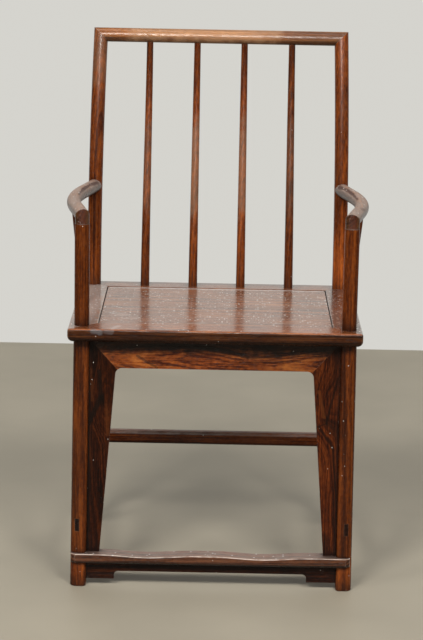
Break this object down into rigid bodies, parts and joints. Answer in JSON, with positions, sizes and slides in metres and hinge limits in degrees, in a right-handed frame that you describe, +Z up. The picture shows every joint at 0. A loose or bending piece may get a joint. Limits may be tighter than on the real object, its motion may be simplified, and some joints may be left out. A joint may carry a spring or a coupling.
{
  "type": "official hat chair",
  "caption": "Low-backed hardwood armchair with a straight crest rail, slender back spindles, bowed arm rails, a floating seat panel, a mitred front arch and a footrest.",
  "frame": {"origin": "on the floor, under the middle of the bounding box", "axes": "+Z up, +Y from the front of the seat to the back, +X to the right seen from the front; the chair faces -Y"},
  "size_m": [0.5958, 0.5059, 1.0484],
  "materials": {
    "rail_wood": "worn, hand-polished reddish rosewood",
    "post_wood": "polished reddish-brown rosewood with dark streaks",
    "seat_wood": "glossy worn rosewood",
    "panel_wood": "glossy worn rosewood board, grain across the seat",
    "apron_wood": "bright orange-brown figured rosewood",
    "board_wood": "dark streaked rosewood",
    "footrest_wood": "rosewood with a worn bright front edge"
  },
  "bodies": {
    "root": {"arm_rail_left": "rail_wood", "arm_rail_right": "rail_wood", "arm_strut_left": "post_wood", "arm_strut_right": "post_wood", "back_apron": "board_wood", "back_leg_left": "post_wood", "back_leg_right": "post_wood", "back_stretcher": "post_wood", "crest_rail": "rail_wood", "footrest": "footrest_wood", "footrest_apron": "board_wood", "front_apron": "apron_wood", "front_leg_left": "post_wood", "front_leg_right": "post_wood", "front_strip_left": "board_wood", "front_strip_right": "board_wood", "seat_batten_left": "board_wood", "seat_batten_right": "board_wood", "seat_panel": "panel_wood", "seat_rail_back": "seat_wood", "seat_rail_front": "seat_wood", "seat_rail_left": "seat_wood", "seat_rail_right": "seat_wood", "side_apron_left": "board_wood", "side_apron_right": "board_wood", "side_stretcher_left": "post_wood", "side_stretcher_right": "post_wood", "spindle_inner_left": "post_wood", "spindle_inner_right": "post_wood", "spindle_outer_left": "post_wood", "spindle_outer_right": "post_wood"}
  },
  "joints": []
}
